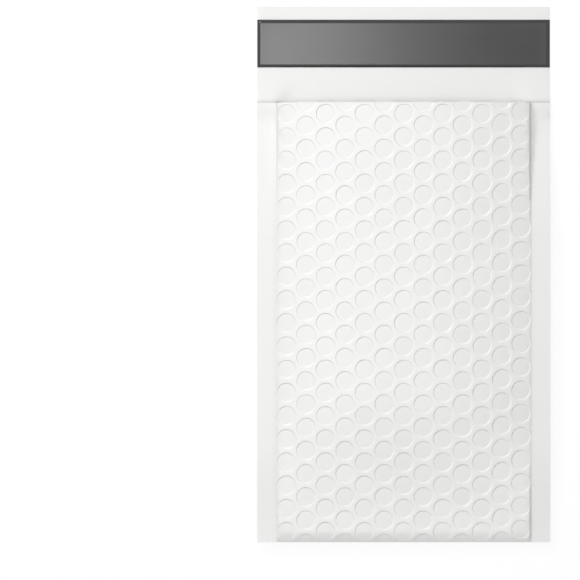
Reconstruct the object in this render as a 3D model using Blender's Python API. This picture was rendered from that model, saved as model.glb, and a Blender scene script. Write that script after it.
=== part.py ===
"""A self-seal padded envelope of white polyethylene film with a bubble-film lining.

The envelope lies on its back, as it comes to rest on a table, with the mouth open by a few millimetres.
X runs across it, +Y runs from the bottom fold to the flap's tip, and +Z points up from the table.
The origin is on the table, at the middle of the outline. All sizes are in metres.
"""

import math

import bmesh
import bpy
from mathutils import Vector

# The envelope's outline
ENVELOPE_WIDTH = 0.152
POCKET_LENGTH = 0.228
FLAP_LENGTH = 0.049
SIDE_SEAL_WIDTH = 0.009

# The walls, from the outside in
SIDE_SEAL_THICKNESS = 0.0005
FLAP_THICKNESS = 0.0003
FILM_THICKNESS = 0.0008
LINING_CLEARANCE = 0.0003
LINING_THICKNESS = 0.0019

# How the empty pocket lies
MOUTH_GAPE = 0.0046
SHOULDER_WIDTH = 0.003
OPENING_RUN = 0.055
SEAL_DROP_RUN = 0.030

# The bubbles
BUBBLE_DIAMETER = 0.0100
BUBBLE_PITCH = 0.0120
BUBBLE_COLUMN_STEP = 0.01013
BUBBLE_EDGE_MARGIN = 0.0005
DIMPLE_DEPTH = 0.0004
FRONT_DIMPLE_SIDES = 8
BACK_DIMPLE_SIDES = 6

# The peel-and-seal closure on the flap
LINER_WIDTH = 0.0247
LINER_TIP_MARGIN = 0.0058
LINER_THICKNESS = 0.0003
ADHESIVE_WIDTH = 0.0200
ADHESIVE_THICKNESS = 0.0002
PLY_GAP = 0.0003

# How finely the curves are faceted
FOLD_STEPS = 3
SHOULDER_STEPS = 2
OPENING_STEPS = 4
SEAL_DROP_STEPS = 3
SEAL_EDGE_STEPS = 6
SEAL_DROP_EDGE_STEPS = 6

# Lengths that only keep the modelling operations clean
WELD = 1e-6
EDGE_LEAN = 0.00005
PINCHED_HALF_THICKNESS = 0.00005
CUTTER_OVERRUN = 0.002

# Shares of a length: how far a layer narrows for its depth, and where the crown's facets bend
SIDE_INSET_SHARE = 1.5
CROWN_BEND_SHARE = 0.6

HALF_WIDTH = ENVELOPE_WIDTH / 2
HALF_POCKET = HALF_WIDTH - SIDE_SEAL_WIDTH
WALL_THICKNESS = FILM_THICKNESS + LINING_CLEARANCE + LINING_THICKNESS
FOLD_RADIUS = WALL_THICKNESS + SIDE_SEAL_THICKNESS / 2
TOTAL_LENGTH = POCKET_LENGTH + FLAP_LENGTH
BOTTOM_Y = -TOTAL_LENGTH / 2
MOUTH_Y = BOTTOM_Y + POCKET_LENGTH
TIP_Y = BOTTOM_Y + TOTAL_LENGTH


def smooth(t):
    """0 at 0 and 1 at 1, level at both ends."""
    t = min(1.0, max(0.0, t))
    return t * t * (3 - 2 * t)


def spaced(start, end, steps):
    """The ends of a run and the stations that divide it evenly."""
    return [start + (end - start) * k / steps for k in range(steps + 1)]


def layer_half_width(depth):
    """Half the width of the surface that lies this deep inside the outer one."""
    return HALF_POCKET - SIDE_INSET_SHARE * depth


def layer_rise(x, y, depth):
    """0 on the side seals and the bottom fold, 1 over the padded panel, for the surface this deep inside."""
    beside = min(1.0, max(0.0, (layer_half_width(depth) - abs(x)) / SHOULDER_WIDTH))
    above = min(1.0, max(0.0, (y - BOTTOM_Y - depth - WELD) / (FOLD_RADIUS - depth)))
    return (1 - (1 - beside) ** 2) * math.sqrt(1 - (1 - above) ** 2)


def layer_crown(x, y, depth):
    """Half of the height by which the front panel arches away from the back one."""
    across = min(1.0, abs(x) / layer_half_width(depth))
    along = smooth((y - BOTTOM_Y - FOLD_RADIUS) / OPENING_RUN)
    return MOUTH_GAPE / 2 * (1 - across**4) * along


def seal_underside(y):
    """The side seals run at mid-thickness, and come down to the table before the flap."""
    return WALL_THICKNESS * (1 - smooth((y - MOUTH_Y + SEAL_DROP_RUN) / SEAL_DROP_RUN))


def layer_heights(x, y, depth=0.0):
    """(lower, upper) height of the surface that lies this deep inside the envelope's outer one."""
    y = min(y, MOUTH_Y)
    rise = layer_rise(x, y, 0.0)
    outer_half = SIDE_SEAL_THICKNESS / 2 + WALL_THICKNESS * rise + layer_crown(x, y, 0.0)
    underside = seal_underside(y) * (1 - rise)
    if not depth:
        return underside, underside + 2 * outer_half
    middle = underside + outer_half
    half = (FOLD_RADIUS - depth) * layer_rise(x, y, depth) + layer_crown(x, y, depth)
    half += PINCHED_HALF_THICKNESS
    return middle - half, middle + half


def material(name, colour, roughness):
    made = bpy.data.materials.new(name)
    made.use_nodes = True
    shader = made.node_tree.nodes["Principled BSDF"]
    shader.inputs["Base Color"].default_value = (*colour, 1.0)
    shader.inputs["Roughness"].default_value = roughness
    shader.inputs["Metallic"].default_value = 0.0
    return made


def add_object(name, mesh_builder, collection, finish=None):
    """An object from a bmesh, which is freed."""
    mesh = bpy.data.meshes.new(name)
    mesh_builder.to_mesh(mesh)
    mesh_builder.free()
    made = bpy.data.objects.new(name, mesh)
    collection.objects.link(made)
    if finish:
        mesh.materials.append(finish)
    else:
        made.hide_render = True
        made.display_type = "WIRE"
    return made


def cut(target, cutter):
    difference = target.modifiers.new("pocket", "BOOLEAN")
    difference.operation = "DIFFERENCE"
    difference.object = cutter


def cell_corners():
    """The six corners of a bubble's cell, where it meets the cells round it."""
    half_pitch = BUBBLE_PITCH / 2
    side = (BUBBLE_COLUMN_STEP**2 + half_pitch**2) / (2 * BUBBLE_COLUMN_STEP)
    slant = BUBBLE_COLUMN_STEP - side
    return [
        (side, 0, 0),
        (slant, half_pitch, 0),
        (-slant, half_pitch, 0),
        (-side, 0, 0),
        (-slant, -half_pitch, 0),
        (slant, -half_pitch, 0),
    ]


def cell_mesh(dimple_sides):
    """One cell of the film: a round dimple and the slope up to the ridge round it, or flat film."""
    cell = bmesh.new()
    ridge = [cell.verts.new(corner) for corner in cell_corners()]
    if dimple_sides:
        ridge_edges = [cell.edges.new((ridge[k - 1], ridge[k])) for k in range(len(ridge))]
        floor = bmesh.ops.create_circle(
            cell, cap_ends=True, segments=dimple_sides, radius=BUBBLE_DIAMETER / 2
        )["verts"]
        for vertex in floor:
            vertex.co.z = -DIMPLE_DEPTH
        floor_edges = [edge for edge in cell.edges if edge.verts[0] in floor]
        bmesh.ops.bridge_loops(cell, edges=ridge_edges + floor_edges)
    else:
        cell.faces.new(ridge)
    mesh = bpy.data.meshes.new("cell")
    cell.to_mesh(mesh)
    cell.free()
    return mesh


def bubble_film(dimple_sides):
    """The flat film of one panel, between the side seals, with its dimples and cut to length."""
    dimpled, plain = cell_mesh(dimple_sides), cell_mesh(0)
    reach = HALF_POCKET - BUBBLE_EDGE_MARGIN - BUBBLE_DIAMETER / 2
    columns = math.floor(2 * reach / BUBBLE_COLUMN_STEP) + 1
    rows = math.ceil(POCKET_LENGTH / BUBBLE_PITCH) + 1
    film = bmesh.new()
    for column in range(-1, columns + 1):
        x = (column - (columns - 1) / 2) * BUBBLE_COLUMN_STEP
        stagger = 0.5 if column % 2 == 0 else 0.0
        for row in range(rows):
            first = len(film.verts)
            film.from_mesh(dimpled if 0 <= column < columns else plain)
            film.verts.ensure_lookup_table()
            for vertex in film.verts[first:]:
                vertex.co.x += x
                vertex.co.y += MOUTH_Y - (row + stagger) * BUBBLE_PITCH
    bmesh.ops.remove_doubles(film, verts=film.verts, dist=WELD)
    cut_film(film, 0, HALF_POCKET, 1)
    cut_film(film, 0, -HALF_POCKET, -1)
    cut_film(film, 1, MOUTH_Y, 1)
    cut_film(film, 1, BOTTOM_Y + EDGE_LEAN, -1)
    for step in range(1, FOLD_STEPS + 1):
        turn = math.pi / 2 * step / FOLD_STEPS
        cut_film(film, 1, BOTTOM_Y + FOLD_RADIUS * (1 - math.cos(turn)))
    return film


def cut_film(film, axis, position, outward=0):
    """Cuts the film off at a position along an axis, or only creases it if it has no outward side."""
    normal = Vector((0, 0, 0))
    normal[axis] = outward or 1
    bmesh.ops.bisect_plane(
        film,
        geom=film.verts[:] + film.edges[:] + film.faces[:],
        dist=WELD,
        plane_co=normal * (position * normal[axis]),
        plane_no=normal,
        clear_outer=bool(outward),
    )
    for vertex in film.verts:
        if abs(vertex.co[axis] - position) < 2 * WELD:
            vertex.co[axis] = position


def extend_edges(film, axis, position, distance, height, stops=()):
    """Draws out the open edges at a position along an axis, to a plainer edge if it has stops."""
    edges = [
        edge
        for edge in film.edges
        if edge.is_boundary and all(abs(v.co[axis] - position) < WELD for v in edge.verts)
    ]
    made = bmesh.ops.extrude_edge_only(film, edges=edges)["geom"]
    edge_vertices = [v for v in made if isinstance(v, bmesh.types.BMVert)]
    for vertex in edge_vertices:
        vertex.co[axis] = position + distance
        vertex.co.z = height
        if stops:
            along = vertex.co[1 - axis]
            vertex.co[1 - axis] = min(stops, key=lambda stop: abs(stop - along))
    bmesh.ops.remove_doubles(film, verts=edge_vertices, dist=WELD)


def panel(dimple_sides, is_back):
    """One side of the film, from the bottom fold to the flap's tip, with its side seals."""
    film = bubble_film(dimple_sides)
    seal_start, drop_start = BOTTOM_Y + EDGE_LEAN, MOUTH_Y - SEAL_DROP_RUN
    seal_stops = spaced(seal_start, drop_start, SEAL_EDGE_STEPS)
    seal_stops += spaced(drop_start, MOUTH_Y, SEAL_DROP_EDGE_STEPS)[1:]
    for side in (-1, 1):
        extend_edges(film, 0, side * HALF_POCKET, side * SIDE_SEAL_WIDTH, 0.0, seal_stops)
    width_stops = (-HALF_WIDTH, -HALF_POCKET, 0.0, HALF_POCKET, HALF_WIDTH)
    extend_edges(film, 1, seal_start, -EDGE_LEAN, 0.0, width_stops)
    for vertex in film.verts:
        lower, upper = layer_heights(vertex.co.x, vertex.co.y)
        relief = vertex.co.z * layer_rise(vertex.co.x, vertex.co.y, 0.0)
        vertex.co.z = lower - relief if is_back else upper + relief
    flap_height = 0.0 if is_back else FLAP_THICKNESS
    root_stops = () if is_back else width_stops
    extend_edges(film, 1, MOUTH_Y, EDGE_LEAN, flap_height, root_stops)
    flap_run = FLAP_LENGTH - EDGE_LEAN
    extend_edges(film, 1, MOUTH_Y + EDGE_LEAN, flap_run, flap_height, width_stops)
    return film


def outer_film_blank():
    """The film as a closed body without its hollow: panels, bottom fold, side seals and flap."""
    film = panel(FRONT_DIMPLE_SIDES, False)
    rim = [edge for edge in film.edges if edge.is_boundary]
    for item in bmesh.ops.extrude_edge_only(film, edges=rim)["geom"]:
        if isinstance(item, bmesh.types.BMVert):
            on_flap = item.co.y > MOUTH_Y + WELD
            item.co.z = 0.0 if on_flap else layer_heights(item.co.x, item.co.y)[0]
    back_panel = panel(BACK_DIMPLE_SIDES, True)
    back = bpy.data.meshes.new("back")
    back_panel.to_mesh(back)
    back_panel.free()
    film.from_mesh(back)
    bmesh.ops.remove_doubles(film, verts=film.verts, dist=WELD)
    bmesh.ops.triangulate(film, faces=film.faces)
    bmesh.ops.recalc_face_normals(film, faces=film.faces)
    return film


def stations(depth):
    """The places across and along a layer at which its curves are faceted."""
    half = layer_half_width(depth)
    flat_half = half - SHOULDER_WIDTH
    across = [0.0, CROWN_BEND_SHARE * half]
    across += spaced(flat_half, half, SHOULDER_STEPS)
    across = [-x for x in reversed(across[1:])] + across
    radius = FOLD_RADIUS - depth
    turns = [math.pi / 2 * k / FOLD_STEPS for k in range(FOLD_STEPS + 1)]
    along = [BOTTOM_Y + depth + radius * (1 - math.cos(turn)) for turn in turns]
    opening_start = BOTTOM_Y + FOLD_RADIUS
    along += spaced(opening_start, opening_start + OPENING_RUN, OPENING_STEPS)[1:]
    along += spaced(MOUTH_Y - SEAL_DROP_RUN, MOUTH_Y, SEAL_DROP_STEPS)
    return across, along


def layer_body(depth, past_mouth):
    """A closed pouch whose skin lies this deep inside the envelope's outer surface."""
    across, along = stations(depth)
    if past_mouth:
        along.append(MOUTH_Y + past_mouth)
    body = bmesh.new()
    bmesh.ops.create_grid(body, x_segments=len(across) - 1, y_segments=len(along) - 1, size=1.0)
    for vertex in body.verts:
        column = round((vertex.co.x + 1) / 2 * (len(across) - 1))
        row = round((vertex.co.y + 1) / 2 * (len(along) - 1))
        vertex.co = (across[column], along[row], 0.0)
    lower = bmesh.ops.extrude_face_region(body, geom=body.faces[:], use_keep_orig=True)["geom"]
    lower_vertices = {v for v in lower if isinstance(v, bmesh.types.BMVert)}
    for vertex in body.verts:
        heights = layer_heights(vertex.co.x, vertex.co.y, depth)
        vertex.co.z = heights[0] if vertex in lower_vertices else heights[1]
    bmesh.ops.remove_doubles(body, verts=body.verts, dist=WELD)
    bmesh.ops.triangulate(body, faces=body.faces)
    bmesh.ops.recalc_face_normals(body, faces=body.faces)
    return body


def strip(width, from_tip, underside, thickness):
    """A flat strip across the flap's whole width."""
    made = bmesh.new()
    bmesh.ops.create_cube(made, size=1.0)
    for vertex in made.verts:
        vertex.co.x *= ENVELOPE_WIDTH
        vertex.co.y = TIP_Y - from_tip + (vertex.co.y - 0.5) * width
        vertex.co.z = underside + (vertex.co.z + 0.5) * thickness
    return made


def main():
    for obj in list(bpy.data.objects):
        bpy.data.objects.remove(obj, do_unlink=True)
    envelope = bpy.data.collections.new("padded_envelope")
    cutters = bpy.data.collections.new("cutters")
    for collection in (envelope, cutters):
        bpy.context.scene.collection.children.link(collection)

    white_film = material("white_film", (0.86, 0.86, 0.85), 0.4)
    bubble_film_white = material("bubble_film", (0.80, 0.81, 0.81), 0.3)
    hot_melt = material("hot_melt", (0.75, 0.72, 0.60), 0.5)
    grey_liner = material("grey_liner", (0.16, 0.16, 0.16), 0.2)

    outer_film = add_object("outer_film", outer_film_blank(), envelope, white_film)
    hollow = add_object("film_hollow", layer_body(FILM_THICKNESS, CUTTER_OVERRUN), cutters)
    cut(outer_film, hollow)

    lining_depth = FILM_THICKNESS + LINING_CLEARANCE
    lining = add_object(
        "bubble_lining", layer_body(lining_depth, 0.0), envelope, bubble_film_white
    )
    pocket = add_object("pocket", layer_body(WALL_THICKNESS, CUTTER_OVERRUN), cutters)
    cut(lining, pocket)

    adhesive_base = FLAP_THICKNESS + PLY_GAP
    adhesive_from_tip = LINER_TIP_MARGIN + (LINER_WIDTH - ADHESIVE_WIDTH) / 2
    add_object(
        "adhesive_strip",
        strip(ADHESIVE_WIDTH, adhesive_from_tip, adhesive_base, ADHESIVE_THICKNESS),
        envelope,
        hot_melt,
    )
    add_object(
        "release_liner",
        strip(
            LINER_WIDTH,
            LINER_TIP_MARGIN,
            adhesive_base + ADHESIVE_THICKNESS + PLY_GAP,
            LINER_THICKNESS,
        ),
        envelope,
        grey_liner,
    )


main()
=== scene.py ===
"""A self-seal padded envelope of white film with a bubble lining, empty and flat, with its flap open.

X runs across it, +Y from the bottom fold to the flap's tip, and +Z up from the table. Sizes are in
metres, except that the radii and heights of bubbles, swells and lifted corners are in millimetres.
"""

import math
import random

import bmesh
import bpy
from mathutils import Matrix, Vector, noise


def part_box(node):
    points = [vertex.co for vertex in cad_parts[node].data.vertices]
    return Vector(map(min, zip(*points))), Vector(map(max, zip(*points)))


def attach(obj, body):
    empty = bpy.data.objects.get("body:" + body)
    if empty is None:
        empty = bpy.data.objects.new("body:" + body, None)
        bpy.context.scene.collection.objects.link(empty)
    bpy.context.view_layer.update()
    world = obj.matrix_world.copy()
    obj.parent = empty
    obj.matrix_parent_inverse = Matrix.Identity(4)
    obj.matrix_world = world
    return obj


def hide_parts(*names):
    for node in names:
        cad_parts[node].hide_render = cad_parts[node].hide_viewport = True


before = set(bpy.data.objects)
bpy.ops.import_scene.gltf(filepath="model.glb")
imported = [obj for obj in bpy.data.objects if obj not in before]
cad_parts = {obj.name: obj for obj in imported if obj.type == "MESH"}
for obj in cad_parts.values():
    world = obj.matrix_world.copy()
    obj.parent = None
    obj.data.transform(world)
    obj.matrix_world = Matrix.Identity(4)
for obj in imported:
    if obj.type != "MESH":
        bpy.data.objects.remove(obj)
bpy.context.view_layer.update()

# The outer film: one sheet of white polyethylene, folded at the bottom and heat-sealed up both sides.
# Its back half is longer and makes the flap. It is bonded to the tops of the lining's bubbles, so each
# bubble shows as a round flat, a little sunk, with a soft ridge of free film round it.
MILLIMETRE = 0.001
WELD = 1e-6

# Its form: two padded walls, flat side seals, a rounded shoulder at each bend, and a mouth that gapes.
SEAL_WIDTH = 0.0098
SEAL_THICKNESS = 0.00034
WALL_THICKNESS = 0.0030
FILM_GAUGE = 0.00012
MOUTH_GAPE = 0.0046
CROWN_POWER = 2.6
SHOULDER_WIDTH = 0.0019
FOLD_RUN = 0.0062
OPENING_RUN = 0.075
SEAL_HEIGHT = 0.0057
SEAL_MOUTH_HEIGHT = 0.0009
SEAL_DROP_RUN = 0.070
FOLD_HEIGHT = 0.0040
FOLD_CORNER_RUN = 0.050
TIP_MARGIN = 0.0009

# Its bubbles, in staggered columns. Each ring is a radius and a height, from the bubble's middle out.
BUBBLE_PITCH = 0.01203
BUBBLE_COLUMN_STEP = 0.01013
BUBBLE_COLUMNS = 13
LAST_COLUMNS_DRIFT = 0.0012
DRIFTED_COLUMNS = 2.4
FILM_CELL_SIDE_POINTS = 3
FILM_BUBBLE_RINGS = ((0.0, -0.33), (4.57, -0.38), (4.86, -0.20), (5.14, -0.04), (5.50, -0.01))
DIMPLE_DEPTH = 0.38
DIMPLE_EXTRA_DEPTH = (-0.045, 0.038)
DIMPLE_LEAN = 0.010
DIMPLE_GIRTH = (0.982, 1.012)
DIMPLE_OVAL = 0.009
DIMPLE_LOBES = 0.006
FLOOR_SHIFT = Vector((-0.00018, 0.00019))
FLOOR_FROM = 0.8
SWELL_HEIGHT, SWELLS_PER_METRE = 0.11, (21, 14)
PUCKER_HEIGHT, PUCKERS_PER_METRE = 0.03, (90, 75)

# The rows and columns of points that bend it at the shoulders and the fold and carry the seals.
SHOULDER_CREASES = 4
SHOULDER_CREASE_POWER = 1.4
FOLD_CREASES = 5
SEAL_STOPS = (0.0, 0.0008, 0.0024, 0.0048, 0.0074, SEAL_WIDTH)
# Half the width of the grey line at each seal's inner edge, partly the denser weld and partly painted
# shade.
WELD_SHADE_HALF = 0.0024
SEAL_ROW_STEP = 0.0023
SEAL_STOPS_SHORT = 0.006

# Its free ends: the front ply's corners at the mouth, and the flap, which lies on the table.
FREE_CORNER_LIFT = 0.0016
FREE_CORNER_RUN = 0.012
FLAP_ROWS = 22
FLAP_FIRST_ROW = 0.0009
FLAP_REST_HEIGHT = 0.00008
FLAP_ROOT_RUN = 0.018
FLAP_ROOT_NARROW, FLAP_ROOT_WIDE = 0.003, 0.012
FLAP_ROOT_SPREAD = 2.5
FLAP_SWELL_HEIGHT, FLAP_SWELLS_PER_METRE = 0.03, (17, 11)
TIP_CORNER_LIFT = 0.30
TIP_CORNER_WIDTH, TIP_CORNER_LENGTH = 0.021, 0.020

# Its colour and finish. Three masks mark what is darker: flats, the seals' inner lines, which are the
# denser weld with painted shade beside the padding, and a painted shadow along the mouth over the seals.
LINED_FLATNESS = 0.6
# The painted shadow along the mouth over the seals fades to this share on the flap's first row.
FIRST_ROW_SHADOW = 0.45
FILM_SHARP_BEND = 14
FILM_SHADES = ((0.841, 0.841, 0.833), (0.855, 0.855, 0.848))
# The last two tints are shade painted into the colour: the seals' inner lines are partly the denser weld
# and partly painted shade, and the dark line along the mouth over the seals is a painted shadow.
FILM_TINTS = (("flat", 0.955), ("weld_and_shade", 0.94), ("mouth_shadow", 0.74))
FILM_ROUGHNESS = (0.34, 0.46)
FILM_RELIEF = 0.00001
FILM_CLOUD_SIZE, FILM_DRAW_LINES = 60.0, 0.5
CLOUD_DETAIL, CLOUD_SPAN = 4, (0.3, 0.7)
GRAIN_DETAIL, GRAINS_PER_METRE = 3, 1400.0
DRAW_LINE_DETAIL, DRAW_LINES_PER_METRE = 2, (900.0, 45.0, 45.0)
GLOSS_SPAN = (0.1, 0.45)
BUMP_STRENGTH = 0.5
FRONT_SEED, BACK_SEED = 7, 11
FRONT_PLY, BACK_PLY, FLAP_PLY = 0, 20, 40

film_low, film_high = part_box("outer_film")
half_width, bottom_y, tip_y = film_high.x, film_low.y, film_high.y + TIP_MARGIN
mouth_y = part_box("bubble_lining")[1].y
half_pocket = half_width - SEAL_WIDTH


def smooth(t):
    """0 at 0 and 1 at 1, level at both ends."""
    t = min(1.0, max(0.0, t))
    return t * t * (3 - 2 * t)


def pad_rise(x, y):
    """0 on the side seals and along the bottom fold, 1 where the padding lifts the film fully."""
    beside = min(1.0, max(0.0, (half_pocket - abs(x)) / SHOULDER_WIDTH))
    above = min(1.0, max(0.0, (y - bottom_y - WELD) / FOLD_RUN))
    return (1 - (1 - beside) ** 2) * (1 - (1 - above) ** 2)


def mouth_crown(x, y):
    """Half the height by which the front panel arches away from the back one towards the mouth."""
    across = min(1.0, abs(x) / half_pocket)
    return MOUTH_GAPE / 2 * (1 - across**CROWN_POWER) * smooth((y - bottom_y - FOLD_RUN) / OPENING_RUN)


def pouch_heights(x, y):
    """(lower, upper) height of the film, whose side seals stand off the table except near the flap."""
    y = min(y, mouth_y)
    rise = pad_rise(x, y)
    dropped = smooth((y - mouth_y + SEAL_DROP_RUN) / SEAL_DROP_RUN)
    raised = smooth((y - bottom_y) / FOLD_CORNER_RUN)
    seal_height = SEAL_HEIGHT + (SEAL_MOUTH_HEIGHT - SEAL_HEIGHT) * dropped
    seal_height = FOLD_HEIGHT + (seal_height - FOLD_HEIGHT) * raised
    underside = seal_height * (1 - rise)
    return underside, underside + SEAL_THICKNESS + 2 * (WALL_THICKNESS * rise + mouth_crown(x, y))


def film_slack(x, y, ply):
    """The slight unevenness of free film: long shallow swells and finer puckers."""
    swell = noise.noise(Vector((x * SWELLS_PER_METRE[0], y * SWELLS_PER_METRE[1], ply)))
    pucker = noise.noise(Vector((x * PUCKERS_PER_METRE[0], y * PUCKERS_PER_METRE[1], ply + 5)))
    return (SWELL_HEIGHT * swell + PUCKER_HEIGHT * pucker) * MILLIMETRE


def cell_outline(side_points):
    """Points round the hexagon of film that belongs to one bubble, where it meets its neighbours'."""
    half_pitch = BUBBLE_PITCH / 2
    side = (BUBBLE_COLUMN_STEP**2 + half_pitch**2) / (2 * BUBBLE_COLUMN_STEP)
    slant = BUBBLE_COLUMN_STEP - side
    corners = [
        Vector((side, 0)),
        Vector((slant, half_pitch)),
        Vector((-slant, half_pitch)),
        Vector((-side, 0)),
        Vector((-slant, -half_pitch)),
        Vector((slant, -half_pitch)),
    ]
    outline = []
    for start, end in zip(corners, corners[1:] + corners[:1]):
        outline += [start.lerp(end, step / side_points) for step in range(side_points)]
    return outline


def bubble_places():
    """(x, y, is_bubble) of every cell, with a plain column beyond the last bubbles at each side."""
    rows = math.ceil((mouth_y - bottom_y) / BUBBLE_PITCH) + 1
    for column in range(-1, BUBBLE_COLUMNS + 1):
        stagger = 0.5 if column % 2 == 0 else 0.0
        x = (column - (BUBBLE_COLUMNS - 1) / 2) * BUBBLE_COLUMN_STEP
        for row in range(-1, rows):
            yield x, mouth_y - (row + stagger) * BUBBLE_PITCH, 0 <= column < BUBBLE_COLUMNS


def add_cell(sheet, floor_mask, outline, x, y, rings, draw):
    """One cell of film: a bubble's rings from its middle out (millimetres), then the hexagon round them.

    Rings below the sheet make a dimple, and no two dimples are as deep, level or round as each other.
    """
    lean = Vector((draw.gauss(0, DIMPLE_LEAN), draw.gauss(0, DIMPLE_LEAN)))
    girth, extra_depth = draw.uniform(*DIMPLE_GIRTH), draw.uniform(*DIMPLE_EXTRA_DEPTH) * MILLIMETRE
    oval_turn, lobe_turn = draw.uniform(0, math.tau), draw.uniform(0, math.tau)
    loops = []
    for radius, height in rings:
        points = [Vector((0, 0))]
        sunk = min(1.0, max(0.0, -height / DIMPLE_DEPTH))
        if radius:
            points = []
            for point in outline:
                turn = math.atan2(point.y, point.x)
                oval = DIMPLE_OVAL * math.cos(2 * turn + oval_turn)
                lobes = DIMPLE_LOBES * math.cos(3 * turn + lobe_turn)
                reach = radius * (girth + oval + lobes) * MILLIMETRE
                points.append(point.normalized() * reach + FLOOR_SHIFT * sunk)
        loop = []
        for point in points:
            z = height * MILLIMETRE + (lean.dot(point) - extra_depth) * sunk
            vertex = sheet.verts.new((x + point.x, y + point.y, z))
            vertex[floor_mask] = LINED_FLATNESS if sunk > FLOOR_FROM else 0.0
            loop.append(vertex)
        loops.append(loop)
    loops.append([sheet.verts.new((x + point.x, y + point.y, 0.0)) for point in outline])
    count = len(outline)
    for k in range(count):
        nxt = (k + 1) % count
        sheet.faces.new((loops[0][0], loops[1][k], loops[1][nxt]))
        for inner, outer in zip(loops[1:], loops[2:]):
            sheet.faces.new((inner[k], outer[k], outer[nxt], inner[nxt]))


def crease(sheet, axis, position, outward=0):
    """A row of vertices across the sheet for a bend, or a cut if the outward side is named."""
    normal = Vector((0, 0, 0))
    normal[axis] = outward or 1
    bmesh.ops.bisect_plane(
        sheet,
        geom=sheet.verts[:] + sheet.edges[:] + sheet.faces[:],
        dist=WELD,
        plane_co=normal * (position * normal[axis]),
        plane_no=normal,
        clear_outer=bool(outward),
    )
    for vertex in sheet.verts:
        if abs(vertex.co[axis] - position) < 2 * WELD:
            vertex.co[axis] = position


def draw_out(sheet, axis, position, target, stops=()):
    """Extends the sheet's open edge at a position along an axis, and snaps it to any stops given."""
    edges = [
        edge
        for edge in sheet.edges
        if edge.is_boundary and all(abs(v.co[axis] - position) < WELD for v in edge.verts)
    ]
    made = bmesh.ops.extrude_edge_only(sheet, edges=edges)["geom"]
    moved = [item for item in made if isinstance(item, bmesh.types.BMVert)]
    for vertex in moved:
        vertex.co[axis] = target
        vertex.co.z = 0.0
        if stops:
            along = vertex.co[1 - axis]
            vertex.co[1 - axis] = min(stops, key=lambda stop: abs(stop - along))
    bmesh.ops.remove_doubles(sheet, verts=moved, dist=WELD)


def even_stops(start, end, step):
    """Evenly spaced places from start to end, about a step apart."""
    count = max(1, round((end - start) / step))
    return [start + (end - start) * k / count for k in range(count + 1)]


def flat_bubble_sheet(outline, rings, draw):
    """The bubbled part of one panel while it is still flat, cut to the pocket's outline."""
    sheet = bmesh.new()
    floor_mask = sheet.verts.layers.float.new("flat")
    flat_rings = tuple((radius, 0.0) for radius, _ in rings)
    for x, y, is_bubble in bubble_places():
        add_cell(sheet, floor_mask, outline, x, y, rings if is_bubble else flat_rings[:2], draw)
    bmesh.ops.remove_doubles(sheet, verts=sheet.verts, dist=WELD)
    drift_start = (BUBBLE_COLUMNS / 2 - DRIFTED_COLUMNS) * BUBBLE_COLUMN_STEP
    for vertex in sheet.verts:
        vertex.co.y += LAST_COLUMNS_DRIFT * smooth((vertex.co.x - drift_start) / BUBBLE_COLUMN_STEP)
    crease(sheet, 0, half_pocket, 1)
    crease(sheet, 0, -half_pocket, -1)
    crease(sheet, 1, mouth_y, 1)
    crease(sheet, 1, bottom_y, -1)
    for step in range(1, SHOULDER_CREASES):
        inset = SHOULDER_WIDTH * (step / SHOULDER_CREASES) ** SHOULDER_CREASE_POWER
        crease(sheet, 0, half_pocket - inset)
        crease(sheet, 0, inset - half_pocket)
    for step in range(1, FOLD_CREASES + 1):
        crease(sheet, 1, bottom_y + FOLD_RUN * step / FOLD_CREASES)
    return sheet


def film_panel(is_back, draw):
    """The front or the back ply of the film, with its side seals, and on the back ply the flap."""
    sheet = flat_bubble_sheet(cell_outline(FILM_CELL_SIDE_POINTS), FILM_BUBBLE_RINGS, draw)
    rows = even_stops(bottom_y, mouth_y, SEAL_ROW_STEP)
    for side in (-1, 1):
        for start, end in zip(SEAL_STOPS, SEAL_STOPS[1:]):
            place = side * (half_pocket + start)
            draw_out(sheet, 0, place, side * (half_pocket + end), () if start else rows)
    ply = BACK_PLY if is_back else FRONT_PLY
    flat_mask = sheet.verts.layers.float["flat"]
    # A grey line at the seals' inner edges: partly the denser weld, partly painted shade of the valley
    # there.
    weld_shade_mask = sheet.verts.layers.float.new("weld_and_shade")
    # A painted shadow on the flap along the front ply's edge where the seals end at the mouth.
    mouth_shadow_mask = sheet.verts.layers.float.new("mouth_shadow")
    for vertex in sheet.verts:
        x, y, relief = vertex.co
        # Grey at the seals' inner lines, partly the denser weld and partly painted shade beside the
        # padding.
        vertex[weld_shade_mask] = max(0.0, 1 - abs(abs(x) - half_pocket) / WELD_SHADE_HALF)
        if abs(x) > half_pocket - WELD:
            vertex[flat_mask] = LINED_FLATNESS
        lower, upper = pouch_heights(x, y)
        rise = pad_rise(x, y)
        if is_back:
            vertex.co.z = lower + (max(0.0, film_slack(x, y, ply)) - relief) * rise
        else:
            lift = FREE_CORNER_LIFT * smooth((y - mouth_y) / FREE_CORNER_RUN + 1) * (1 - rise)
            vertex.co.z = upper + (relief + film_slack(x, y, ply)) * rise + lift
    if is_back:
        columns = even_stops(-half_width, half_width, SEAL_ROW_STEP)
        step = (tip_y - mouth_y) / FLAP_ROWS
        stops = [mouth_y, mouth_y + FLAP_FIRST_ROW] + even_stops(mouth_y + step, tip_y, step)
        for start, end in zip(stops, stops[1:]):
            draw_out(sheet, 1, start, end, () if start > mouth_y else columns)
        for vertex in sheet.verts:
            x, y = vertex.co.xy
            if y > mouth_y - WELD:
                vertex[flat_mask] = 1.0
                vertex[weld_shade_mask] = 0.0
                # Painted shadow: full along the mouth line over the seals, fading over the flap's first
                # row.
                if abs(x) > half_pocket - WELD and y < mouth_y + FLAP_FIRST_ROW + WELD:
                    vertex[mouth_shadow_mask] = 1.0 if y < mouth_y + WELD else FIRST_ROW_SHADOW
            if y > mouth_y + WELD:
                vertex.co.z = flap_height(x, y)
    return sheet


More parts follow.
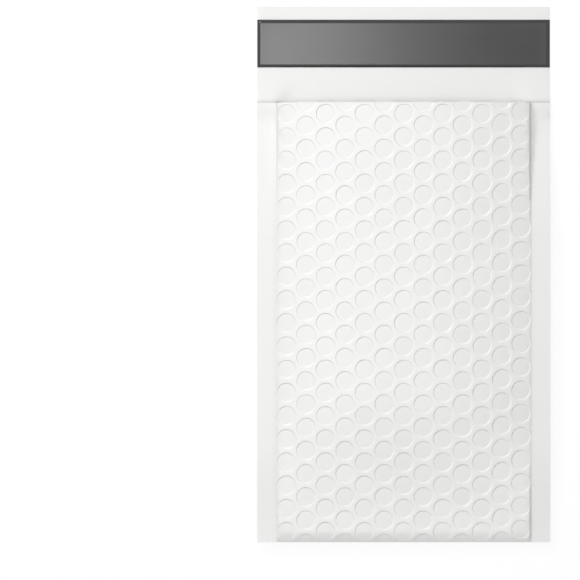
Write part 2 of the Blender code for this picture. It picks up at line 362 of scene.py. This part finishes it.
def flap_height(x, y):
    """The flap lies on the table but for faint swells, its corners, and its root beside the seals."""
    away = (y - mouth_y) / FLAP_ROOT_RUN
    slope = FLAP_ROOT_NARROW + (FLAP_ROOT_WIDE - FLAP_ROOT_NARROW) * smooth(FLAP_ROOT_SPREAD * away)
    root = SEAL_MOUTH_HEIGHT * smooth((abs(x) - half_pocket + slope) / slope) * (1 - smooth(away))
    place = Vector((x * FLAP_SWELLS_PER_METRE[0], y * FLAP_SWELLS_PER_METRE[1], FLAP_PLY))
    swell = FLAP_SWELL_HEIGHT * max(0.0, 0.5 + noise.noise(place))
    corner = smooth((abs(x) - half_width) / TIP_CORNER_WIDTH + 1)
    corner *= smooth((y - tip_y) / TIP_CORNER_LENGTH + 1)
    return FLAP_REST_HEIGHT + root + (swell + TIP_CORNER_LIFT * corner) * MILLIMETRE


def as_object(name, sheet, finish):
    """Puts a finished sheet into the scene as a smooth-shaded piece."""
    mesh = bpy.data.meshes.new(name)
    sheet.to_mesh(mesh)
    sheet.free()
    for polygon in mesh.polygons:
        polygon.use_smooth = True
    mesh.materials.append(finish)
    piece = bpy.data.objects.new(name, mesh)
    bpy.context.scene.collection.objects.link(piece)
    return piece


def give_gauge(piece, gauge, sharp_bend):
    """Gives a sheet the real gauge of its film, with creases where it bends sharply (degrees)."""
    piece.data.set_sharp_from_angle(angle=math.radians(sharp_bend))
    thickness = piece.modifiers.new("gauge", "SOLIDIFY")
    thickness.thickness = gauge
    thickness.offset = -1.0
    piece.modifiers.new("crisp_bends", "WEIGHTED_NORMAL").keep_sharp = True


def skin_group():
    """Fine surface of blown film: cloudy shade, uneven gloss, and the height of its draw lines."""
    group = bpy.data.node_groups.new("film_skin", "ShaderNodeTree")
    sockets = group.interface
    for name in ("Cloud Size", "Draw Lines"):
        sockets.new_socket(name, in_out="INPUT", socket_type="NodeSocketFloat")
    for name in ("Cloud", "Gloss", "Height"):
        sockets.new_socket(name, in_out="OUTPUT", socket_type="NodeSocketFloat")
    nodes, links = group.nodes, group.links
    given, result = nodes.new("NodeGroupInput"), nodes.new("NodeGroupOutput")
    place = nodes.new("ShaderNodeTexCoord")

    cloud = nodes.new("ShaderNodeTexNoise")
    cloud.inputs["Detail"].default_value = CLOUD_DETAIL
    links.new(place.outputs["Object"], cloud.inputs["Vector"])
    links.new(given.outputs["Cloud Size"], cloud.inputs["Scale"])
    links.new(cloud.outputs["Fac"], result.inputs["Cloud"])

    grain = nodes.new("ShaderNodeTexNoise")
    grain.inputs["Detail"].default_value = GRAIN_DETAIL
    grain.inputs["Scale"].default_value = GRAINS_PER_METRE
    links.new(place.outputs["Object"], grain.inputs["Vector"])

    stretch = nodes.new("ShaderNodeMapping")
    stretch.inputs["Scale"].default_value = DRAW_LINES_PER_METRE
    lines = nodes.new("ShaderNodeTexNoise")
    lines.inputs["Scale"].default_value = 1.0
    lines.inputs["Detail"].default_value = DRAW_LINE_DETAIL
    links.new(place.outputs["Object"], stretch.inputs["Vector"])
    links.new(stretch.outputs["Vector"], lines.inputs["Vector"])
    weighed = nodes.new("ShaderNodeMath")
    weighed.operation = "MULTIPLY"
    links.new(lines.outputs["Fac"], weighed.inputs[0])
    links.new(given.outputs["Draw Lines"], weighed.inputs[1])
    height = nodes.new("ShaderNodeMath")
    height.operation = "ADD"
    links.new(weighed.outputs[0], height.inputs[0])
    links.new(grain.outputs["Fac"], height.inputs[1])
    links.new(height.outputs[0], result.inputs["Height"])

    gloss = nodes.new("ShaderNodeMath")
    gloss.operation = "MULTIPLY"
    links.new(cloud.outputs["Fac"], gloss.inputs[0])
    links.new(grain.outputs["Fac"], gloss.inputs[1])
    links.new(gloss.outputs[0], result.inputs["Gloss"])
    return group


film_skin = skin_group()


def ranged(nodes, links, source, low, high, start, end):
    """A number that runs from low to high as the source runs from start to end."""
    made = nodes.new("ShaderNodeMapRange")
    made.inputs["From Min"].default_value = start
    made.inputs["From Max"].default_value = end
    made.inputs["To Min"].default_value = low
    made.inputs["To Max"].default_value = high
    links.new(source, made.inputs["Value"])
    return made.outputs["Result"]


def shaded(nodes, links, source, dark, light):
    """A colour that runs from dark to light over the span that the clouds cover."""
    ramp = nodes.new("ShaderNodeValToRGB")
    for element, position, colour in zip(ramp.color_ramp.elements, CLOUD_SPAN, (dark, light)):
        element.position = position
        element.color = (*colour, 1)
    links.new(source, ramp.inputs["Fac"])
    return ramp.outputs["Color"]


def film_finish(name, shades, roughness, relief, cloud_size, draw_lines, tints=()):
    """A film's material: the skin group varies its shade and gloss, and marked places are darker."""
    finish = bpy.data.materials.new(name)
    finish.use_nodes = True
    nodes, links = finish.node_tree.nodes, finish.node_tree.links
    shader = nodes["Principled BSDF"]
    skin = nodes.new("ShaderNodeGroup")
    skin.node_tree = film_skin
    skin.inputs["Cloud Size"].default_value = cloud_size
    skin.inputs["Draw Lines"].default_value = draw_lines
    shade = shaded(nodes, links, skin.outputs["Cloud"], *shades)
    for mark, share in tints:
        marked = nodes.new("ShaderNodeAttribute")
        marked.attribute_name = mark
        tint = nodes.new("ShaderNodeMix")
        tint.data_type = "RGBA"
        tint.blend_type = "MULTIPLY"
        tint.inputs["B"].default_value = (share, share, share, 1)
        links.new(marked.outputs["Fac"], tint.inputs["Factor"])
        links.new(shade, tint.inputs["A"])
        shade = tint.outputs["Result"]
    links.new(shade, shader.inputs["Base Color"])
    rough = ranged(nodes, links, skin.outputs["Gloss"], *roughness, *GLOSS_SPAN)
    links.new(rough, shader.inputs["Roughness"])
    bump = nodes.new("ShaderNodeBump")
    bump.inputs["Distance"].default_value = relief
    bump.inputs["Strength"].default_value = BUMP_STRENGTH
    links.new(skin.outputs["Height"], bump.inputs["Height"])
    links.new(bump.outputs["Normal"], shader.inputs["Normal"])
    return finish


white_film = film_finish(
    "white_film", FILM_SHADES, FILM_ROUGHNESS, FILM_RELIEF, FILM_CLOUD_SIZE, FILM_DRAW_LINES, FILM_TINTS
)

film = film_panel(False, random.Random(FRONT_SEED))
side_edges = [
    edge
    for edge in film.edges
    if edge.is_boundary
    and not all(abs(v.co.y - mouth_y) < WELD for v in edge.verts)
    and max(v.co.y for v in edge.verts) < mouth_y - SEAL_STOPS_SHORT
]
for item in bmesh.ops.extrude_edge_only(film, edges=side_edges)["geom"]:
    if isinstance(item, bmesh.types.BMVert):
        item.co.z = pouch_heights(item.co.x, item.co.y)[0]
back_ply = film_panel(True, random.Random(BACK_SEED))
back_mesh = bpy.data.meshes.new("back_ply")
back_ply.to_mesh(back_mesh)
back_ply.free()
film.from_mesh(back_mesh)
bmesh.ops.remove_doubles(film, verts=film.verts, dist=2 * WELD)
bmesh.ops.recalc_face_normals(film, faces=film.faces)
film_pouch = as_object("film_pouch", film, white_film)
give_gauge(film_pouch, FILM_GAUGE, FILM_SHARP_BEND)
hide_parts("outer_film")
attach(film_pouch, "root")

# The bubble lining: two plies of clear-white bubble film, with their bubbles bonded to the outer film
# and their flat sides to the pocket. Where its cut edge at the mouth passes a bubble, it shows a
# half-round hollow.
LINING_SETBACK = 0.0004
LINING_SIDE_GAP = 0.0007
LINING_GAUGE = 0.00005
LINING_PLY_GAP = 0.00025
LINING_CELL_SIDE_POINTS = 3
LINING_BUBBLE_RINGS = ((0.0, 1.0), (4.2, 1.0), (4.75, 0.86), (5.0, 0.35), (5.12, 0.0))
LINING_BUBBLE_HEIGHT = 0.0019
PLAIN_RINGS = ((0.0, 0.0), (3.0, 0.0))
PLY_GAP_EASE = 4
LINING_SHARP_BEND = 60
LINING_SHADES = ((0.78, 0.79, 0.79), (0.84, 0.85, 0.85))
LINING_ROUGHNESS = (0.22, 0.34)
LINING_RELIEF = 0.00001
LINING_CLOUD_SIZE, LINING_DRAW_LINES = 90.0, 0.2
LINING_SEED = 3


def lining_heights(x, y, height_share):
    """(lower, upper) height of the lining, from its flat ply at 0 to its bubbles' tops at 1."""
    y = min(y, mouth_y)
    lower, upper = pouch_heights(x, y)
    middle = (lower + upper) / 2
    half = mouth_crown(x, y) + LINING_PLY_GAP / 2 * min(1.0, PLY_GAP_EASE * pad_rise(x, y))
    half += LINING_BUBBLE_HEIGHT * height_share * pad_rise(x, y)
    return middle - half, middle + half


def lining_ply(is_back, is_flat, draw):
    """The flat film or the bubbled film of the front or back half of the lining."""
    sheet = bmesh.new()
    mask = sheet.verts.layers.float.new("flat")
    outline = cell_outline(1 if is_flat else LINING_CELL_SIDE_POINTS)
    for x, y, is_bubble in bubble_places():
        is_plain = is_flat or not is_bubble
        add_cell(sheet, mask, outline, x, y, PLAIN_RINGS if is_plain else LINING_BUBBLE_RINGS, draw)
    bmesh.ops.remove_doubles(sheet, verts=sheet.verts, dist=WELD)
    edge_x, edge_y = half_pocket - LINING_SIDE_GAP, mouth_y - LINING_SETBACK
    crease(sheet, 0, edge_x, 1)
    crease(sheet, 0, -edge_x, -1)
    crease(sheet, 1, edge_y, 1)
    crease(sheet, 1, bottom_y + FOLD_RUN / 2, -1)
    for vertex in sheet.verts:
        x, y, share = vertex.co
        vertex.co.z = lining_heights(x, y, share / MILLIMETRE)[0 if is_back else 1]
    return sheet


bubble_film = film_finish(
    "bubble_film", LINING_SHADES, LINING_ROUGHNESS, LINING_RELIEF, LINING_CLOUD_SIZE, LINING_DRAW_LINES
)

lining = bmesh.new()
for is_back in (False, True):
    for is_flat in (False, True):
        ply = lining_ply(is_back, is_flat, random.Random(LINING_SEED))
        bmesh.ops.recalc_face_normals(ply, faces=ply.faces)
        faces_up = sum(face.normal.z * face.calc_area() for face in ply.faces) > 0
        if faces_up == is_back:
            bmesh.ops.reverse_faces(ply, faces=ply.faces)
        ply_mesh = bpy.data.meshes.new("lining_ply")
        ply.to_mesh(ply_mesh)
        ply.free()
        lining.from_mesh(ply_mesh)
lining_pouch = as_object("lining_pouch", lining, bubble_film)
give_gauge(lining_pouch, LINING_GAUGE, LINING_SHARP_BEND)
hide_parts("bubble_lining")
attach(lining_pouch, "root")

# The adhesive: a band of tacky hot melt, laid across the flap while it is soft, so that its long edges
# wander slightly and stand a little higher than its middle.
ADHESIVE_STATIONS = 76
ADHESIVE_LIFT = 0.00005
ADHESIVE_SECTION = (
    (0.0, 0.15), (0.008, 0.75), (0.03, 1.0), (0.5, 0.92), (0.97, 1.0), (0.992, 0.75), (1.0, 0.15)
)
ADHESIVE_WANDER, WANDERS_PER_METRE = 0.0004, 60
ADHESIVE_SHADES = ((0.70, 0.67, 0.55), (0.79, 0.76, 0.65))
ADHESIVE_ROUGHNESS = (0.35, 0.6)
ADHESIVE_RELIEF = 0.00004
ADHESIVE_CLOUD_SIZE, ADHESIVE_DRAW_LINES = 220.0, 0.5

adhesive_low, adhesive_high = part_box("adhesive_strip")


def band(name, low_y, high_y, stations, section, underside, thickness, wander, finish):
    """A closed band across the whole flap, with a section given as shares of its width and thickness."""
    made = bmesh.new()
    loops = []
    for k in range(stations + 1):
        x = -half_width + 2 * half_width * k / stations
        shift = [wander * noise.noise(Vector((x * WANDERS_PER_METRE, edge, 9))) for edge in (0, 50)]
        y0, y1 = low_y + shift[0], high_y + shift[1]
        loop = []
        for across, up in section:
            y = y0 + (y1 - y0) * across
            loop.append(made.verts.new((x, y, underside(x, y) + thickness * up)))
        for across, _ in reversed(section):
            y = y0 + (y1 - y0) * across
            loop.append(made.verts.new((x, y, underside(x, y))))
        loops.append(loop)
    count = len(loops[0])
    for near, far in zip(loops, loops[1:]):
        for k in range(count):
            nxt = (k + 1) % count
            made.faces.new((near[k], near[nxt], far[nxt], far[k]))
    made.faces.new(loops[0])
    made.faces.new(reversed(loops[-1]))
    bmesh.ops.recalc_face_normals(made, faces=made.faces)
    return as_object(name, made, finish)


def flap_top(x, y):
    """Height of the flap's upper face."""
    return flap_height(x, y) + FILM_GAUGE


hot_melt = film_finish(
    "hot_melt",
    ADHESIVE_SHADES,
    ADHESIVE_ROUGHNESS,
    ADHESIVE_RELIEF,
    ADHESIVE_CLOUD_SIZE,
    ADHESIVE_DRAW_LINES,
)
adhesive_band = band(
    "adhesive_band",
    adhesive_low.y,
    adhesive_high.y,
    ADHESIVE_STATIONS,
    ADHESIVE_SECTION,
    lambda x, y: flap_top(x, y) + ADHESIVE_LIFT,
    adhesive_high.z - adhesive_low.z,
    ADHESIVE_WANDER,
    hot_melt,
)
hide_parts("adhesive_strip")
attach(adhesive_band, "root")

# The release liner: a peel-off strip of dark grey glossy film over the adhesive, cut with the envelope's
# sides, so that it reaches from edge to edge of the flap. It bows up slightly between its long edges.
LINER_GAUGE = 0.00010
LINER_LIFT = 0.00005
LINER_STATIONS = 76
LINER_SECTION_STEPS = 12
LINER_DIP, LINER_DIP_POWER = 0.05, 16
LINER_SWELL, LINER_SWELLS_PER_METRE, LINER_PLY = 0.05, (26, 20), 70
LINER_END_LIFT, LINER_END_RUN = 0.08, 0.006
LINER_SHADES = ((0.020, 0.020, 0.020), (0.024, 0.024, 0.024))
LINER_ROUGHNESS = (0.19, 0.21)
LINER_RELIEF = 0.000006
LINER_CLOUD_SIZE, LINER_DRAW_LINES = 40.0, 0.3
LINER_SHINE = 0.60

liner_low, liner_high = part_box("release_liner")


def liner_underside(x, y):
    """The liner lies on the adhesive, and its long edges dip towards the flap beyond it."""
    across = (y - liner_low.y) / (liner_high.y - liner_low.y)
    dip = LINER_DIP * (2 * across - 1) ** LINER_DIP_POWER
    place = Vector((x * LINER_SWELLS_PER_METRE[0], y * LINER_SWELLS_PER_METRE[1], LINER_PLY))
    swell = LINER_SWELL * noise.noise(place)
    end_lift = LINER_END_LIFT * smooth((abs(x) - half_width) / LINER_END_RUN + 1)
    thickness = adhesive_high.z - adhesive_low.z
    lift = ADHESIVE_LIFT + thickness + LINER_LIFT + (swell - dip + end_lift) * MILLIMETRE
    return flap_top(x, y) + lift


grey_liner = film_finish(
    "grey_liner", LINER_SHADES, LINER_ROUGHNESS, LINER_RELIEF, LINER_CLOUD_SIZE, LINER_DRAW_LINES
)
liner_shader = grey_liner.node_tree.nodes["Principled BSDF"]
liner_shader.inputs["Specular IOR Level"].default_value = LINER_SHINE
release_liner = band(
    "peel_strip",
    liner_low.y,
    liner_high.y,
    LINER_STATIONS,
    tuple((k / LINER_SECTION_STEPS, 1.0) for k in range(LINER_SECTION_STEPS + 1)),
    liner_underside,
    LINER_GAUGE,
    0.0,
    grey_liner,
)
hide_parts("release_liner")
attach(release_liner, "root")

# The table: a plain matte white top, which keeps the envelope's shadow. Most of what the camera sees of
# it is a white of its own, so that it shows as white without more light on the envelope.
TABLE_HALF = 4.0
TABLE_SHADE = (0.88, 0.88, 0.88)
TABLE_WHITE = 1.03
TABLE_GLOW = 0.86


def sight_rays(nodes, links):
    """1 on the rays that show a background: from the camera, in a reflection or through clear film."""
    path = nodes.new("ShaderNodeLightPath")
    found = path.outputs["Is Camera Ray"]
    for other in ("Is Glossy Ray", "Is Transmission Ray"):
        larger = nodes.new("ShaderNodeMath")
        larger.operation = "MAXIMUM"
        links.new(found, larger.inputs[0])
        links.new(path.outputs[other], larger.inputs[1])
        found = larger.outputs[0]
    return found


table_mesh = bpy.data.meshes.new("table")
table_mesh.from_pydata(
    [
        (-TABLE_HALF, -TABLE_HALF, 0),
        (TABLE_HALF, -TABLE_HALF, 0),
        (TABLE_HALF, TABLE_HALF, 0),
        (-TABLE_HALF, TABLE_HALF, 0),
    ],
    [],
    [(0, 1, 2, 3)],
)
table = bpy.data.objects.new("table", table_mesh)
bpy.context.scene.collection.objects.link(table)
table_white = bpy.data.materials.new("table_white")
table_white.use_nodes = True
nodes, links = table_white.node_tree.nodes, table_white.node_tree.links
nodes.remove(nodes["Principled BSDF"])
matte = nodes.new("ShaderNodeBsdfDiffuse")
matte.inputs["Color"].default_value = (*TABLE_SHADE, 1)
own_light = nodes.new("ShaderNodeEmission")
own_light.inputs["Strength"].default_value = TABLE_WHITE
seen = nodes.new("ShaderNodeMath")
seen.operation = "MULTIPLY"
seen.inputs[1].default_value = TABLE_GLOW
links.new(sight_rays(nodes, links), seen.inputs[0])
blend = nodes.new("ShaderNodeMixShader")
links.new(seen.outputs[0], blend.inputs["Fac"])
links.new(matte.outputs[0], blend.inputs[1])
links.new(own_light.outputs[0], blend.inputs[2])
links.new(blend.outputs[0], nodes["Material Output"].inputs["Surface"])
table_mesh.materials.append(table_white)

# The light: a soft box above the left side, which the liner mirrors, a second one that rakes across from
# the upper left and shows the bubbles, and a white room that is brightest overhead.
OVERHEAD_SIZE = (0.32, 0.67)
OVERHEAD_PLACE = (-0.160, 0.05, 1.0)
OVERHEAD_POWER = 3.4
RAKING_SIZE = (0.45, 0.45)
RAKING_PLACE = (-0.70, 0.97, 0.78)
RAKING_POWER = 8.4
ROOM_LOW_LIGHT = 0.30
ROOM_HIGH_LIGHT = 0.55
ROOM_FALLOFF = 1.5


def soft_box(name, size, place, power, is_turned):
    """A rectangular lamp with an even face, which points straight down or is turned to the envelope."""
    lamp = bpy.data.objects.new(name, bpy.data.lights.new(name, "AREA"))
    lamp.data.shape = "RECTANGLE"
    lamp.data.size, lamp.data.size_y = size
    lamp.data.energy = power
    lamp.location = place
    if is_turned:
        lamp.rotation_euler = Vector(place).to_track_quat("Z", "Y").to_euler()
    bpy.context.scene.collection.objects.link(lamp)


soft_box("overhead_box", OVERHEAD_SIZE, OVERHEAD_PLACE, OVERHEAD_POWER, False)
soft_box("raking_box", RAKING_SIZE, RAKING_PLACE, RAKING_POWER, True)

room = bpy.data.worlds.new("room")
bpy.context.scene.world = room
room.use_nodes = True
nodes, links = room.node_tree.nodes, room.node_tree.links
light, shown = nodes["Background"], nodes.new("ShaderNodeBackground")
light.inputs["Color"].default_value = (1.0, 1.0, 1.0, 1)
place, part_of = nodes.new("ShaderNodeTexCoord"), nodes.new("ShaderNodeSeparateXYZ")
links.new(place.outputs["Generated"], part_of.inputs[0])
raised = nodes.new("ShaderNodeMath")
raised.operation = "MAXIMUM"
raised.inputs[1].default_value = 0.0
links.new(part_of.outputs["Z"], raised.inputs[0])
curved = nodes.new("ShaderNodeMath")
curved.operation = "POWER"
curved.inputs[1].default_value = ROOM_FALLOFF
links.new(raised.outputs[0], curved.inputs[0])
level = nodes.new("ShaderNodeMath")
level.operation = "MULTIPLY_ADD"
level.inputs[1].default_value = ROOM_HIGH_LIGHT - ROOM_LOW_LIGHT
level.inputs[2].default_value = ROOM_LOW_LIGHT
links.new(curved.outputs[0], level.inputs[0])
links.new(level.outputs[0], light.inputs["Strength"])
shown.inputs["Strength"].default_value = 1.0
shown.inputs["Color"].default_value = (1.0, 1.0, 1.0, 1)
blend = nodes.new("ShaderNodeMixShader")
links.new(sight_rays(nodes, links), blend.inputs["Fac"])
links.new(light.outputs[0], blend.inputs[1])
links.new(shown.outputs[0], blend.inputs[2])
links.new(blend.outputs[0], nodes["World Output"].inputs["Surface"])

# The camera: straight above and square to the envelope, which lies right of the picture's middle. It
# stands well back, so that the envelope's sides stay parallel in the picture.
CAMERA_HEIGHT = 2.4
PICTURE_SPAN = 0.3014
SENSOR = 0.036
NEAREST_SEEN, FARTHEST_SEEN = 0.05, 20
CAMERA_X, CAMERA_Y = -0.0590, -0.0077

camera = bpy.data.objects.new("camera", bpy.data.cameras.new("camera"))
camera.data.sensor_width = SENSOR / MILLIMETRE
camera.data.lens = SENSOR / MILLIMETRE * CAMERA_HEIGHT / PICTURE_SPAN
camera.data.clip_start, camera.data.clip_end = NEAREST_SEEN, FARTHEST_SEEN
camera.location = (CAMERA_X, CAMERA_Y, CAMERA_HEIGHT)
bpy.context.scene.collection.objects.link(camera)
bpy.context.scene.camera = camera
bpy.context.scene.view_settings.view_transform = "Standard"
